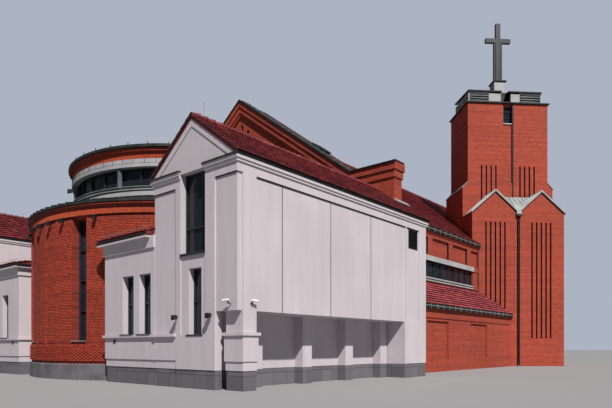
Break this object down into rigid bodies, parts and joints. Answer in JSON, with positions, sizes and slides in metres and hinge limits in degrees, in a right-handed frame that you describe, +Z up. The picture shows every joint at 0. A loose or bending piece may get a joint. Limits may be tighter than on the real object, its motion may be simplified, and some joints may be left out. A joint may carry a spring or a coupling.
{
  "type": "scale model of a modern church building",
  "caption": "Half-size church: a round brick chancel between two rendered wings, a tiled nave with lean-to aisles, and a brick tower with a cross.",
  "frame": {"origin": "on the ground, at the centre of the round chancel, on the underside of its floor", "axes": "+X along the nave away from the street front, +Z up, +Y to the north side, away from the tower"},
  "size_m": [24.465, 15.1605, 15.95],
  "materials": {
    "brick": "orange-red facing brick with pale joints",
    "render": "smooth pale grey mineral render, grey stone plinth",
    "tile": "dark red clay roof tile",
    "sheet_metal": "dark grey seamed sheet metal",
    "pale_stone": "pale grey rendered bands and round columns",
    "glass": "dark tinted glass",
    "concrete": "plain concrete floor",
    "dark_steel": "dark grey painted steel plates"
  },
  "bodies": {
    "root": {"south_wing_gable_wall": "render", "south_wing_side_wall": "render", "south_wing_end_block": "render", "south_wing_passage_wall": "render", "south_wing_inner_wall": "render", "south_wing_corner_pier": "render", "south_wing_roof": "tile", "south_wing_front_glass": "glass", "south_wing_side_glass": "glass", "south_annex_front_wall": "render", "south_annex_roof": "tile", "south_annex_glass": "glass", "south_rotunda_front_wall": "brick", "south_rotunda_back_wall": "brick", "south_aisle_wall": "brick", "south_aisle_roof": "tile", "north_wing_gable_wall": "render", "north_wing_side_wall": "render", "north_wing_end_block": "render", "north_wing_passage_wall": "render", "north_wing_inner_wall": "render", "north_wing_corner_pier": "render", "north_wing_roof": "tile", "north_wing_front_glass": "glass", "north_wing_side_glass": "glass", "north_annex_front_wall": "render", "north_annex_roof": "tile", "north_annex_glass": "glass", "north_rotunda_front_wall": "brick", "north_rotunda_back_wall": "brick", "north_aisle_wall": "brick", "north_aisle_roof": "tile", "rotunda_ring_roof": "brick", "rotunda_slot_glass": "glass", "rotunda_sill": "pale_stone", "rotunda_clerestory_glass": "glass", "rotunda_crown": "brick", "rotunda_roof": "sheet_metal", "ground_floor": "concrete", "nave_west_gable": "brick", "nave_west_roof": "tile", "nave_east_gable": "brick", "nave_roof": "tile", "nave_south_wall_west": "brick", "nave_south_wall_east": "brick", "nave_north_wall": "brick", "nave_south_glass": "glass", "nave_north_glass": "glass", "nave_east_glass": "glass", "tower_front_block": "brick", "tower_valley_roof": "sheet_metal", "tower_body": "brick", "tower_shaft": "brick", "tower_crown": "sheet_metal", "tower_cross": "dark_steel"}
  },
  "joints": []
}
